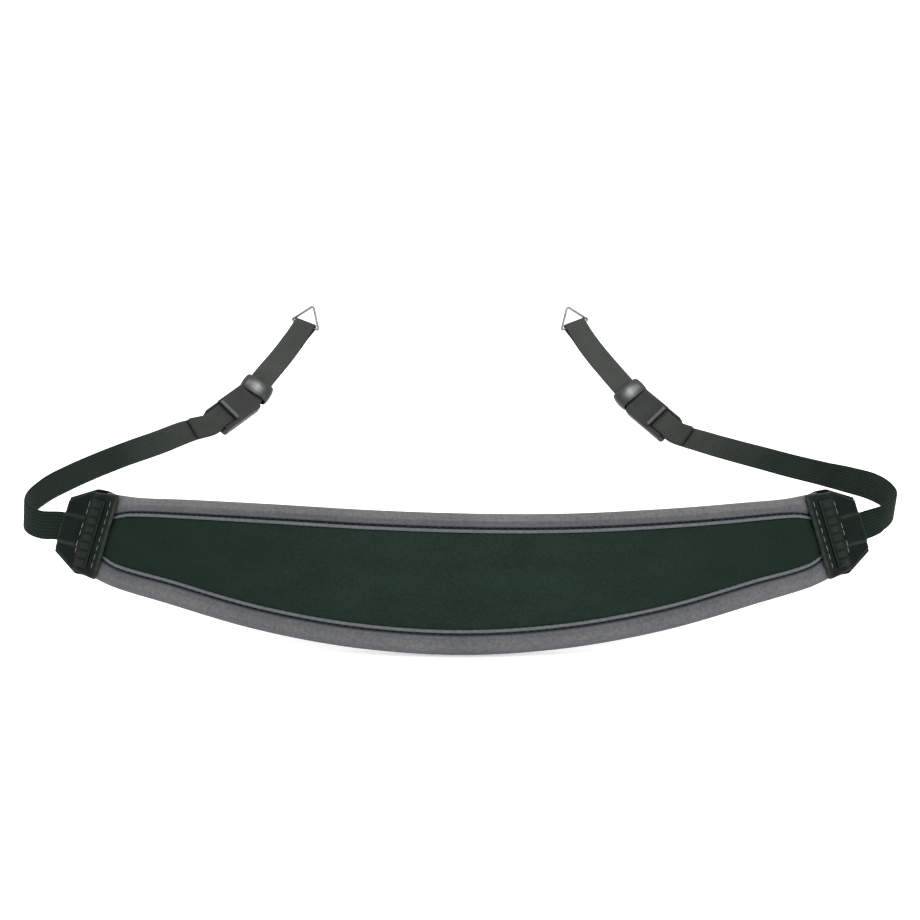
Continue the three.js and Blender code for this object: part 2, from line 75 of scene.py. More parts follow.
# Half the pad's outline: height of the lower and upper edge, and width of the two rims.
Outline = namedtuple("Outline", "at low high low_rim high_rim")
PAD_OUTLINE = [
    Outline(0.0, -0.2, 45.6, 6.6, 4.5),
    Outline(0.25, 1.0, 45.4, 6.6, 4.5),
    Outline(0.5, 4.1, 44.9, 6.6, 4.6),
    Outline(0.75, 8.2, 43.4, 6.7, 4.7),
    Outline(0.93, 10.0, 41.5, 6.5, 4.9),
    Outline(1.0, 11.3, 41.2, 7.4, 7.0),
]

PIPING_RADIUS = 0.6
PIPING_FROM_GROOVE = 1.18
PIPING_HEIGHT = 1.85
STITCH_PITCH = 2.6

TAB_OVERLAP = {1: 2.5, -1: -0.6}
TAB_LENGTH = 22.4
TAB_LOW, TAB_HIGH = 11, 41.5
TAB_CORNER_LOW, TAB_CORNER_HIGH = 10.5, 11.5
TAB_OUTER_LOW, TAB_OUTER_HIGH = 17, 36.6
LEAF = 1.3
BORDER = 1.6
BORDER_FROM, BORDER_TO = -1, 9
NEAR_PAD = 0.6
BACK_LOWER = 1.5
WEBBING_HEIGHT = 26.2
WEBBING_INSIDE = 8
BAND_FROM, BAND_TO = 3, 9.4
BAND_LOW, BAND_HIGH = 14.6, 38.4

WEBBING_WIDTH = 9.8
WEBBING_THICKNESS = 1
LAYER_OFFSET = 0.66
FOLD_RADIUS = 1.45
FOLD_RUN = 7
LAYERS_PART_AT, LAYERS_PART_RUN = 150, 60

ADJUSTER_LENGTH = 23
RING_HALF_WIDTH = 7
# Each ring stands on its bar and leans towards this point, which it doesn't reach.
RING_AIM_X, RING_AIM_Z = 63.6, 2.6

# The two webbings' middle lines from the tab to the ring; lean in degrees outward from upright.
Station = namedtuple("Station", "x y z lean")
ROUTES = {
    "left": [
        Station(-137.2, -215.6, -33, -12),
        Station(-143.9, -207.5, -33, -7),
        Station(-146, -196, -32.4, -2),
        Station(-142.8, -179, -31.6, 2),
        Station(-137.4, -160, -32.4, 3),
        Station(-130.6, -136, -34.4, 4),
        Station(-123, -111, -36.7, 8),
        Station(-114.5, -88, -38.6, 20),
        Station(-104.6, -70, -38.4, 38),
        Station(-93.6, -56, -36.3, 48),
        Station(-85.6, -44.5, -32.6, 50),
        Station(-77.7, -32, -26.2, 55),
        Station(-69.6, -19.6, -18, 64),
        Station(-60.6, -6, -7.4, 72),
    ],
    "right": [
        Station(154.8, -215.6, -30.6, 4),
        Station(160.4, -207.5, -29.3, 5),
        Station(161, -197, -28.8, 8),
        Station(158, -183, -29.2, 17),
        Station(152, -168, -30.9, 28),
        Station(145.2, -153, -32.8, 40),
        Station(136.3, -131, -35.9, 40),
        Station(127.8, -111, -38.4, 40),
        Station(118.6, -92, -40.5, 40),
        Station(108.6, -75, -41.6, 42),
        Station(98.8, -60.5, -40.4, 42),
        Station(90, -48, -36.2, 48),
        Station(82.6, -37.5, -30.4, 52),
        Station(74, -27.2, -23.6, 58),
        Station(66.4, -16.4, -16, 64),
        Station(59.4, -6, -7.4, 72),
    ],
}

# Distances of the fittings and of the webbing's free end from the ring's lower bar.
Places = namedtuple("Places", "keeper adjuster tail_end")
FITTINGS = {"left": Places(42, 59.2, 84.5), "right": Places(45.4, 62.2, 85.6)}
SIDES = {"left": -1, "right": 1}


def mix(a, b, share):
    return a + (b - a) * share


def smooth(low, high, value):
    share = min(max((value - low) / (high - low), 0), 1)
    return share * share * (3 - 2 * share)


def hill(value, middle, width):
    """A soft bump of height 1 at middle."""
    return math.exp(-(((value - middle) / width) ** 2))


# ---- The pad's curved frame ---------------------------------------------------------------


def pad_point(along, height, out):
    """A point at along the bend, height up the leaning face and out in front of its middle."""
    side = -1 if along < 0 else 1
    share = min(1, abs(along) / HALF_LENGTH)
    slanted = abs(along) - math.tan(END_SLANT) * share * share * (height - SLANT_HEIGHT)
    turn = min(slanted, HALF_LENGTH) / BEND_RADIUS
    straight = max(0, slanted - HALF_LENGTH)
    forward = out * math.cos(LEAN) - height * math.sin(LEAN)
    reach = (BEND_RADIUS + forward) * math.sin(turn) + straight * math.cos(turn)
    depth = BEND_RADIUS * (1 - math.cos(turn)) + straight * math.sin(turn)
    return Vector((
        PAD_MIDDLE_X + side * reach,
        PAD_FRONT_Y + depth - math.cos(turn) * forward,
        PAD_BASE_Z + height * math.cos(LEAN) + out * math.sin(LEAN),
    ))


def outline_at(along):
    """The outline's row at a distance along the pad, joined smoothly between the table's rows."""
    at = min(1, abs(along) / HALF_LENGTH)
    last = len(PAD_OUTLINE) - 1
    i = 0
    while i < last - 1 and PAD_OUTLINE[i + 1].at < at:
        i += 1
    before, after = PAD_OUTLINE[max(i - 1, 0)], PAD_OUTLINE[min(i + 2, last)]
    a, b = PAD_OUTLINE[i], PAD_OUTLINE[i + 1]
    step = b.at - a.at
    t = (at - a.at) / step
    values = []
    for p, q, r, s in zip(before, a, b, after):
        slope_a = 0 if i == 0 else (r - p) / (b.at - before.at) * step
        slope_b = r - q if i + 1 == last else (s - q) / (after.at - a.at) * step
        bend = (2 * t**3 - 3 * t**2 + 1) * q + (t**3 - 2 * t**2 + t) * slope_a
        values.append(bend + (3 * t**2 - 2 * t**3) * r + (t**3 - t**2) * slope_b)
    row = Outline(*values)
    tilt = math.copysign(UNEVEN * math.sin(math.pi * at), along)
    return row._replace(high=row.high - tilt)


def pad_half_thickness(along):
    full = smooth(-TONGUE, 7, HALF_LENGTH - abs(along))
    return mix(TONGUE_HALF_THICKNESS, HALF_THICKNESS, full)


def leaf_inside(beyond):
    """How far the inside of a tab's leaf stands off the tab's middle layer."""
    over_pad = pad_half_thickness(HALF_LENGTH + beyond) + 0.1
    return 0.3 + mix(over_pad, WEBBING_THICKNESS / 2, smooth(TONGUE, TONGUE + 5, beyond))


def tab_edges(beyond, border):
    """Heights of the tab's lower and upper edge at a distance beyond the pad's end."""
    reach = TAB_LENGTH - border
    near = 1 - smooth(BORDER_FROM, BORDER_TO, beyond)
    inset = border * (1 - near)
    dropped = 0 if border else BACK_LOWER * near

    def edge(corner, near, outer):
        return mix(near, outer, max(0, (beyond - corner) / (reach - corner)))

    return (
        edge(TAB_CORNER_LOW, TAB_LOW, TAB_OUTER_LOW) + inset + NEAR_PAD * near,
        edge(TAB_CORNER_HIGH, TAB_HIGH, TAB_OUTER_HIGH) - inset / 2 - dropped,
    )


# ---- The webbings' routes -----------------------------------------------------------------

Frame = namedtuple("Frame", "at towards across inner lean")


class LeaningLine:
    """A smooth line through stations, with the webbing's own axes at any distance from the ring:
    towards the ring, across its width and inner, out of the face towards the neck."""

    SAMPLES = 1500

    def __init__(self, rows, side):
        self.side = side
        self.rows = rows
        points = [Vector((r.x, r.y, r.z)) for r in rows]
        padded = [2 * points[0] - points[1], *points, 2 * points[-1] - points[-2]]
        self.pieces = [self.stretch(*padded[i:i + 4]) for i in range(len(points) - 1)]
        spots = [self.point(self.step(k)) for k in range(self.SAMPLES + 1)]
        self.lengths = [0.0]
        for a, b in zip(spots, spots[1:]):
            self.lengths.append(self.lengths[-1] + (b - a).length)
        self.length = self.lengths[-1]

    @staticmethod
    def stretch(p0, p1, p2, p3):
        """The curve from p1 to p2 as the four coefficients of a cubic."""
        d0, d1, d2 = (math.sqrt((b - a).length) for a, b in ((p0, p1), (p1, p2), (p2, p3)))
        start = ((p1 - p0) / d0 - (p2 - p0) / (d0 + d1) + (p2 - p1) / d1) * d1
        end = ((p2 - p1) / d1 - (p3 - p1) / (d1 + d2) + (p3 - p2) / d2) * d1
        return p1, start, 3 * (p2 - p1) - 2 * start - end, 2 * (p1 - p2) + start + end

    def step(self, k):
        return k / self.SAMPLES * len(self.pieces)

    def point(self, t):
        i = min(int(t), len(self.pieces) - 1)
        a, b, c, d = self.pieces[i]
        w = t - i
        return a + w * (b + w * (c + w * d))

    def frame(self, from_ring):
        target = min(max(self.length - from_ring, 0), self.length)
        k = min(max(bisect.bisect(self.lengths, target) - 1, 0), self.SAMPLES - 1)
        share = (target - self.lengths[k]) / (self.lengths[k + 1] - self.lengths[k])
        t = self.step(k + share)
        i = min(int(t), len(self.pieces) - 1)
        a, b, c, d = self.pieces[i]
        w = t - i
        towards = (b + w * (2 * c + w * 3 * d)).normalized()
        lean = mix(self.rows[i].lean, self.rows[i + 1].lean, w)
        up = (Vector((0, 0, 1)) - towards * towards.z).normalized()
        upright = towards.cross(up) * -self.side
        across = up * math.cos(math.radians(lean)) - upright * math.sin(math.radians(lean))
        inner = towards.cross(across) * -self.side
        return Frame(self.point(t), towards, across, inner, lean)


def webbing_line(name):
    """One side's webbing from inside the tab to the ring, held straight by its adjuster."""
    side = SIDES[name]
    rows = []
    for beyond in (WEBBING_INSIDE, (WEBBING_INSIDE + TAB_LENGTH) / 2, TAB_LENGTH):
        at = pad_point(side * (HALF_LENGTH + beyond), WEBBING_HEIGHT, 0)
        rows.append(Station(*at, -math.degrees(LEAN)))
    rows += ROUTES[name]
    held = LeaningLine(rows, side).frame(FITTINGS[name].adjuster)
    straight = []
    for share in (-1.27, -1.05, 1.05, 1.27):
        at = held.at + held.towards * (share * ADJUSTER_LENGTH / 2)
        straight.append(Station(*at, held.lean))
    clear = [r for r in rows if (Vector(r[:3]) - held.at).length > ADJUSTER_LENGTH * 0.8]
    before = [r for r in clear if r.y < held.at.y]
    after = [r for r in clear if r.y > held.at.y]
    return LeaningLine(before + straight + after, side), held


# ---- Making meshes ------------------------------------------------------------------------


def finished(name, bm, finish, replaced=(), smooth_faces=True):
    """Turns a bmesh in millimetres into a piece of the strap, in metres."""
    bmesh.ops.scale(bm, vec=(MM, MM, MM), verts=bm.verts)
    mesh = bpy.data.meshes.new(name)
    bm.to_mesh(mesh)
    bm.free()
    mesh.polygons.foreach_set("use_smooth", [smooth_faces] * len(mesh.polygons))
    mesh.materials.append(finish)
    piece = bpy.data.objects.new(name, mesh)
    bpy.context.scene.collection.objects.link(piece)
    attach(piece, "root")
    if replaced:
        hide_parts(*replaced)
    return piece


def skin(rows, columns, place, size, tone=None, roll=False, ring=False, cap=True):
    """A grid of quads whose corners place(i, j) sets. roll joins its long sides into a tube, ring
    joins its ends too, and cap closes the ends. size is its length and girth in millimetres,
    which its UV map keeps; tone(i, j) is stored for the material."""
    bm = bmesh.new()
    uv = bm.loops.layers.uv.new("Surface")
    shade = bm.verts.layers.float.new("tone")
    bmesh.ops.create_grid(bm, x_segments=rows, y_segments=columns, size=0.5, calc_uvs=True)
    for face in bm.faces:
        for loop in face.loops:
            loop[uv].uv = (loop[uv].uv.x * size[0], loop[uv].uv.y * size[1])
    for vert in bm.verts:
        i = round((vert.co.x + 0.5) * rows)
        j = round((vert.co.y + 0.5) * columns)
        vert.co = place(i % rows if ring else i, j % columns if roll else j)
        vert[shade] = tone(i, j) if tone else 0
    if roll or ring:
        bmesh.ops.remove_doubles(bm, verts=bm.verts, dist=1e-4)
    if roll and cap and not ring:
        bmesh.ops.holes_fill(bm, edges=[e for e in bm.edges if e.is_boundary], sides=0)
    bmesh.ops.recalc_face_normals(bm, faces=bm.faces)
    return bm


def add_modifier(piece, kind, **values):
    modifier = piece.modifiers.new(kind.title(), kind)
    for key, value in values.items():
        setattr(modifier, key, value)
    return modifier


def add_solidify(piece, thickness):
    add_modifier(piece, "SOLIDIFY", thickness=thickness * MM, offset=0, use_even_offset=True)


def add_subdivision(piece, levels):
    add_modifier(piece, "SUBSURF", levels=levels, render_levels=levels)


def stitches(name, spots, length, width, finish):
    """Rows of thread stitches: each spot is its middle, its direction and the way out."""
    bm = bmesh.new()
    for middle, direction, out in spots:
        ahead = direction.normalized()
        above = (out - ahead * out.dot(ahead)).normalized()
        beside = above.cross(ahead)
        axes = Matrix((ahead * length / 2, beside * width / 2, above * width / 2)).transposed()
        place = Matrix.Translation(middle) @ axes.to_4x4()
        bmesh.ops.create_uvsphere(bm, u_segments=6, v_segments=5, radius=1, matrix=place)
    bmesh.ops.recalc_face_normals(bm, faces=bm.faces)
    return finished(name, bm, finish)


# ---- Materials ----------------------------------------------------------------------------


class Finish:
    """A material made of nodes, with short calls for the ones that this strap needs."""

    def __init__(self, name):
        self.material = bpy.data.materials.new(name)
        self.material.use_nodes = True
        self.tree = self.material.node_tree
        self.shader = self.tree.nodes["Principled BSDF"]
        self.where = self.tree.nodes.new("ShaderNodeTexCoord")

    def node(self, kind, inputs=None, **settings):
        made = self.tree.nodes.new("ShaderNode" + kind)
        for key, value in settings.items():
            setattr(made, key, value)
        for key, value in (inputs or {}).items():
            self.feed(made.inputs[key], value)
        return made

    def feed(self, socket, value):
        if isinstance(value, bpy.types.NodeSocket):
            self.tree.links.new(value, socket)
        else:
            socket.default_value = value

    def math(self, operation, a, b=0.0):
        return self.node("Math", {0: a, 1: b}, operation=operation).outputs[0]

    def surface(self, scale=(1, 1, 1), turn=0.0):
        """The piece's own UV map, in millimetres."""
        values = {"Vector": self.where.outputs["UV"], "Scale": scale, "Rotation": (0, 0, turn)}
        return self.node("Mapping", values).outputs[0]

    def space(self, scale=(1, 1, 1)):
        """Object coordinates, in metres."""
        values = {"Vector": self.where.outputs["Object"], "Scale": scale}
        return self.node("Mapping", values).outputs[0]

    def noise(self, vector, scale, detail=3.0, roughness=0.55):
        values = {"Vector": vector, "Scale": scale, "Detail": detail, "Roughness": roughness}
        return self.node("TexNoise", values).outputs["Fac"]

    def waves(self, vector, pitch, direction="X", distortion=0.0, detail_scale=1.0):
        """Bands whose crests are pitch apart, from 0 to 1."""
        values = {
            "Vector": vector, "Scale": math.pi / 10 / pitch, "Distortion": distortion,
            "Detail Scale": detail_scale,
        }
        return self.node("TexWave", values, bands_direction=direction).outputs["Fac"]

    def tone(self):
        return self.node("Attribute", attribute_name="tone").outputs["Fac"]

    def range(self, value, low, high, to_low=0.0, to_high=1.0):
        values = {
            "Value": value, "From Min": low, "From Max": high, "To Min": to_low, "To Max": to_high,
        }
        return self.node("MapRange", values).outputs[0]

    def blend(self, share, first, second):
        made = self.node("Mix", data_type="RGBA")
        self.feed(made.inputs[0], share)
        self.feed(made.inputs[6], first)
        self.feed(made.inputs[7], second)
        return made.outputs[2]

    def bump(self, height, distance, strength=1.0, below=None):
        values = {"Height": height, "Distance": distance * MM, "Strength": strength}
        if below is not None:
            values["Normal"] = below
        return self.node("Bump", values).outputs[0]

    def finish(self, color, roughness, normal=None, **fixed):
        self.feed(self.shader.inputs["Base Color"], color)
        self.feed(self.shader.inputs["Roughness"], roughness)
        if normal is not None:
            self.feed(self.shader.inputs["Normal"], normal)
        for key, value in fixed.items():
            socket = key.replace("_", " ").title().replace("Ior", "IOR")
            self.shader.inputs[socket].default_value = value
        return self.material


def srgb(red, green, blue):
    """A colour given as it looks on a screen, from 0 to 255."""
    def linear(value):
        value /= 255
        return value / 12.92 if value <= 0.04045 else ((value + 0.055) / 1.055) ** 2.4

    return linear(red), linear(green), linear(blue), 1.0


def jersey():
    """Knitted jersey laminated on foam: rows of small loops, heathered yarn and a soft nap. The
    tone paints shade on it, in the grooves and under the lower rim."""
    m = Finish("foam_jersey")
    face = m.surface()
    wales = m.waves(face, 0.75, "Y", 0.8, 2.0)
    courses = m.waves(face, 0.6, "X", 1.2, 2.0)
    loops = m.math("MULTIPLY", wales, m.range(courses, 0, 1, 0.45, 1))
    fuzz = m.noise(m.space(), 2600, 3, 0.7)
    yarn = m.noise(m.space(), 900, 4, 0.65)
    cloud = m.noise(m.space(), 55, 3, 0.5)
    mixed = m.math("ADD", m.range(yarn, 0.3, 0.7, 0, 0.5), m.range(cloud, 0.3, 0.7, 0, 0.2))
    mixed = m.math("ADD", mixed, m.math("MULTIPLY", loops, 0.3))
    shade = m.blend(mixed, srgb(70, 71, 73), srgb(115, 115, 115))
    # Painted shade: blue-grey where the tone is high, in the grooves and under the lower rim.
    shade = m.blend(m.tone(), shade, srgb(48, 53, 62))
    normal = m.bump(loops, 0.09, 0.8)
    normal = m.bump(fuzz, 0.05, 0.5, normal)
    return m.finish(shade, m.range(yarn, 0.3, 0.7, 0.85, 0.98), normal,
                    sheen_weight=0.05, sheen_roughness=0.45, specular_ior_level=0.1)


def panel_cloth():
    """The dark, finely napped cloth of the centre panel, with painted shade darkening it towards
    its ends.
    """
    m = Finish("panel_cloth")
    face = m.surface()
    weave = m.math("MULTIPLY", m.waves(face, 0.55, "Y", 0.6, 2), m.waves(face, 0.55, "X", 0.6, 2))
    nap = m.noise(m.space(), 1500, 4, 0.7)
    brushed = m.noise(m.space((60, 60, 190)), 1.0, 4, 0.55)
    share = m.math("ADD", m.range(nap, 0.3, 0.7, 0, 0.6), m.range(brushed, 0.3, 0.7, 0, 0.3))
    shade = m.blend(share, srgb(21, 31, 26), srgb(36, 50, 43))
    # Painted shade: darker towards both ends of the panel.
    across = m.node("SeparateXYZ", {0: m.where.outputs["Object"]}).outputs[0]
    away = m.math("ABSOLUTE", m.math("SUBTRACT", across, PAD_MIDDLE_X * MM))
    shade = m.blend(m.range(away, 0.03, 0.11, 0, 0.4), shade, srgb(17, 25, 20))
    normal = m.bump(weave, 0.06, 0.5)
    normal = m.bump(nap, 0.08, 0.55, normal)
    return m.finish(shade, m.range(brushed, 0.3, 0.7, 0.82, 0.98), normal,
                    specular_ior_level=0.03)


def piping_cloth():
    """Woven tape rolled round the piping's cord."""
    m = Finish("piping_cloth")
    twill = m.waves(m.surface((1, 1, 1), math.radians(38)), 0.55, "X", 0.3)
    yarn = m.noise(m.space(), 1100, 3, 0.6)
    share = m.math("ADD", m.math("MULTIPLY", twill, 0.4), m.range(yarn, 0.3, 0.7, 0, 0.6))
    shade = m.blend(share, srgb(72, 76, 79), srgb(104, 109, 112))
    return m.finish(shade, 0.9, m.bump(twill, 0.07, 0.7),
                    sheen_weight=0.05, specular_ior_level=0.12)


def tab_leather():
    """Dark grained leather, paler where the tone is high: along its cut edges, partly worn and
    partly a painted highlight, and on the raised lines beside the webbing's sewn end, a painted
    highlight.
    """
    m = Finish("tab_leather")
    grain = m.node("TexVoronoi", {"Vector": m.space(), "Scale": 1150, "Randomness": 1},
                   feature="DISTANCE_TO_EDGE").outputs["Distance"]
    pebbles = m.range(grain, 0, 0.25)
    creases = m.noise(m.space(), 420, 5, 0.65)
    dye = m.noise(m.space(), 120, 4, 0.6)
    share = m.math("ADD", m.range(dye, 0.3, 0.7, 0, 0.55), m.math("MULTIPLY", pebbles, 0.3))
    shade = m.blend(share, srgb(6, 12, 9), srgb(17, 26, 21))
    # Edge wear and painted highlight, where the tone is high.
    worn_and_highlit = m.math("MULTIPLY", m.tone(), m.range(creases, 0.35, 0.65, 0.35, 1))
    shade = m.blend(worn_and_highlit, shade, srgb(76, 84, 76))
    normal = m.bump(pebbles, 0.07, 0.55)
    normal = m.bump(creases, 0.16, 0.45, normal)
    return m.finish(shade, m.range(creases, 0.3, 0.7, 0.45, 0.65), normal,
                    specular_ior_level=0.05)


def thread(name, light, dark):
    """Twisted sewing thread."""
    m = Finish(name)
    twist = m.waves(m.space(), 0.00025, "DIAGONAL")
    shade = m.blend(m.math("MULTIPLY", twist, 0.6), light, dark)
    return m.finish(shade, 0.6, m.bump(twist, 0.03, 0.6), specular_ior_level=0.35)


def webbing_weave():
    """Tightly woven polyester: painted shade between its ribs, a painted highlight on the
    crossings of the yarn, and painted light making it paler towards the rings."""
    m = Finish("webbing_weave")
    face = m.surface()
    strands = m.waves(face, 0.3, "Y", 0.4, 3)
    fibre = m.noise(m.space(), 1800, 3, 0.6)
    dust = m.noise(m.space(), 70, 4, 0.6)
    # Painted highlight on the raised crossings of the yarn, painted shade between the ribs.
    crest = m.math("MULTIPLY", m.tone(), m.range(fibre, 0.3, 0.7, 0.55, 1))
    share = m.math("ADD", m.math("MULTIPLY", crest, 0.7), m.range(dust, 0.35, 0.7, 0, 0.2))
    dark = m.blend(share, srgb(10, 17, 12), srgb(36, 49, 40))
    # A lit copy of the colours: painted light that makes the webbing paler towards the rings.
    pale = m.blend(share, srgb(48, 51, 48), srgb(78, 82, 78))
    depth = m.node("SeparateXYZ", {0: m.where.outputs["Object"]}).outputs[1]
    shade = m.blend(m.range(depth, -0.125, -0.04), dark, pale)
    normal = m.bump(strands, 0.05, 0.5)
    normal = m.bump(fibre, 0.05, 0.4, normal)
    return m.finish(shade, m.range(fibre, 0.3, 0.7, 0.7, 0.9), normal,
                    specular_ior_level=0.06)


def moulded_plastic(name, color, pale, low, high, grain, shine):
    """Moulded nylon with an eroded mould surface. The tone paints a highlight: a pale ridge or
    spot.
    """
    m = Finish(name)
    texture = m.noise(m.space(), 2400, 2, 0.6)
    handled = m.noise(m.space(), 160, 4, 0.6)
    scuffs = m.noise(m.space((2200, 260, 900)), 1.0, 3, 0.7)
    share = m.math("ADD", m.range(handled, 0.35, 0.7, 0, 0.6), m.range(scuffs, 0.6, 0.75, 0, 0.4))
    shade = m.blend(share, color, pale)
    # Painted highlight where the tone is high.
    shade = m.blend(m.tone(), shade, srgb(152, 154, 153))
    return m.finish(shade, m.range(handled, 0.3, 0.7, low, high), m.bump(texture, grain, 0.6),
                    specular_ior_level=shine)


def ring_steel():
    """Plated spring wire with fine drawing marks."""
    m = Finish("ring_steel")
    marks = m.waves(m.surface(), 0.12, "Y", 2.5, 4)
    haze = m.noise(m.space(), 500, 4, 0.65)
    shade = m.blend(m.range(haze, 0.35, 0.7), srgb(118, 121, 122), srgb(150, 153, 154))
    return m.finish(shade, m.range(haze, 0.3, 0.7, 0.34, 0.48), m.bump(marks, 0.02, 0.4),
                    metallic=1.0)


FOAM_JERSEY = jersey()
PANEL_CLOTH = panel_cloth()
PIPING_CLOTH = piping_cloth()
LEATHER = tab_leather()
SEAM_THREAD = thread("seam_thread", srgb(58, 62, 71), srgb(36, 40, 47))
TAB_THREAD = thread("tab_thread", srgb(118, 126, 116), srgb(60, 68, 60))
WEAVE = webbing_weave()
ADJUSTER_PLASTIC = moulded_plastic(
    "adjuster_plastic", srgb(30, 32, 30), srgb(46, 49, 46), 0.42, 0.6, 0.035, 0.25)
KEEPER_PLASTIC = moulded_plastic(
    "keeper_plastic", srgb(26, 28, 28), srgb(42, 44, 44), 0.3, 0.42, 0.012, 0.4)
RING_STEEL = ring_steel()


# ---- Neck pad -----------------------------------------------------------------------------

# A point of the pad's section. across is 0 where its height is counted up from the lower edge and
# 1 where it is counted down from the upper edge; rim is its share of the rim's width inward from
# that edge and inward a further distance; out is in front of the pad's middle.
# tone is how much painted shade darkens the jersey there.
Spot = namedtuple("Spot", "across rim inward out tone")

PAD_ROWS = 380
RIM_FALL = 0.55


def rim_spots(across):
    """One rim of the foam, from its back edge round the outside to the stitched groove: a round
    outer edge, a dome that falls toward the groove and a soft shoulder down into it."""
    h = HALF_THICKNESS
    deep, shoulder = (2.3, 1.2) if across else (3.2, 1.5)
    spots = []
    for k in range(13):
        a = math.radians(mix(-90, 90, k / 12))
        # Painted shade under the lower rim's outer edge.
        shaded = 0 if across else 0.85 * (1 - smooth(2, 14, k))
        spots.append(Spot(across, 0, deep * (1 - math.cos(a)), h * math.sin(a), shaded))
    # From here to the groove the tone grows: painted shade on the shoulder and in the groove.
    for k in range(1, 9):
        share = k / 8
        out = h - RIM_FALL * share * share
        spots.append(Spot(across, share, mix(deep, -shoulder, share), out, 0.22 * share**3))
    for k in range(1, 6):
        a = math.radians(90 * k / 5)
        inward = -shoulder + shoulder * math.sin(a)
        out = h - RIM_FALL - 1.6 * (1 - math.cos(a))
        spots.append(Spot(across, 1, inward, out, mix(0.22, 1, (k / 5) ** 2)))
    spots.append(Spot(across, 1, 0.05, 0.5, 1))
    return spots


def back_spots():
    """The plain back between the two rims, drawn in where the seams' stitches come through; its
    tone paints shade in those drawn-in seams.
    """
    h = HALF_THICKNESS
    seam = [(-1.7, 0), (-0.9, 0.12), (-0.45, 0.34), (0, 0.5), (0.45, 0.34), (0.9, 0.12), (1.7, 0)]
    lower = [Spot(0, 1, inward, depth - h, depth) for inward, depth in seam]
    upper = [Spot(1, 1, inward, depth - h, depth) for inward, depth in reversed(seam)]
    middle = []
    for k in range(1, 12):
        share = k / 12
        middle.append(Spot(share, 1, 1.7, -h - 0.3 * math.sin(math.pi * share), 0))
    return upper, middle, lower


def pad_place(spots, reach, rows, ruffle):
    """place(i, j) and tone(i, j) for a section carried along the pad. ruffle is how far the soft
    surface rises and falls."""
    stations = []
    for i in range(rows + 1):
        along = mix(-reach, reach, i / rows)
        stations.append((along, outline_at(along), pad_half_thickness(along) / HALF_THICKNESS))

    def place(i, j):
        along, edge, thin = stations[i]
        across, rim, inward, out, _ = spots[j]
        up = edge.low + rim * edge.low_rim + inward
        down = edge.high - rim * edge.high_rim - inward
        height = mix(up, down, across)
        soft = noise.noise(Vector((along * 0.055, height * 0.09, out * 0.3))) * ruffle
        near_seam = hill(inward, -1.0, 0.9) if rim == 1 and inward <= 0 else 0
        pull = abs(math.sin(math.pi * along / STITCH_PITCH)) * near_seam * ruffle
        grown = out + (soft - pull) * out / HALF_THICKNESS
        return pad_point(along, height, grown * thin)

    return place, lambda i, j: spots[j % len(spots)].tone


def add_neck_pad():
    upper, middle, lower = back_spots()
    # The groove's floor under the panel is painted fully in shade.
    front_floor = [Spot(share, 1, 0.2, 0.5, 1) for share in (0.02, 0.5, 0.98)]
    back = [*upper, *reversed(middle), *lower]
    spots = [*rim_spots(0), *front_floor, *reversed(rim_spots(1)), *back]
    place, tone = pad_place(spots, HALF_LENGTH + TONGUE, PAD_ROWS, 0.16)
    girth = 110
    bm = skin(PAD_ROWS, len(spots), place, (2 * HALF_LENGTH, girth), tone, roll=True)
    pad = finished("neck_pad_foam", bm, FOAM_JERSEY, ["neck_pad"])


def add_centre_panel():
    """The dark layer: domed a little and turned down along both sides."""
    edge = [(1.86, 0.8), (1.8, 1.6), (1.9, 2.1), (2.2, 2.42), (2.7, 2.6), (3.4, 2.7), (4.6, 2.8)]
    lower = [Spot(0, 1, inward, out, 0) for inward, out in edge]
    upper = [Spot(1, 1, inward, out, 0) for inward, out in reversed(edge)]
    face = []
    for k in range(1, 22):
        share = k / 22
        face.append(Spot(share, 1, 4.6, 2.8 + 0.35 * math.sin(math.pi * share) ** 0.6, 0))
    back = [Spot(share, 1, 1.86, 0.8, 0) for share in (0.75, 0.5, 0.25)]
    spots = [*lower, *face, *upper, *back]
    place, _ = pad_place(spots, HALF_LENGTH - 0.3, PAD_ROWS, 0.14)
    bm = skin(PAD_ROWS, len(spots), place, (2 * HALF_LENGTH, 80), roll=True)
    panel = finished("centre_panel_cloth", bm, PANEL_CLOTH, ["centre_panel"])


def add_piping(name, across):
    """A thin corded bead beside the groove, drawn in a little at each stitch."""
    rows, sides = 520, 12
    reach = HALF_LENGTH - 0.3

    def place(i, j):
        along = mix(-reach, reach, i / rows)
        edge = outline_at(along)
        a = 2 * math.pi * j / sides
        drawn = 1 - 0.09 * abs(math.cos(math.pi * along / STITCH_PITCH)) ** 6
        inward = PIPING_FROM_GROOVE + PIPING_RADIUS * drawn * math.cos(a)
        out = PIPING_HEIGHT + PIPING_RADIUS * drawn * math.sin(a)
        height = edge.low + edge.low_rim + inward
        if across:
            height = edge.high - edge.high_rim - inward
        return pad_point(along, height, out * pad_half_thickness(along) / HALF_THICKNESS)

    girth = 2 * math.pi * PIPING_RADIUS
    bm = skin(rows, sides, place, (2 * reach, girth), roll=True)
    finished(f"{name}_bead", bm, PIPING_CLOTH, [name])


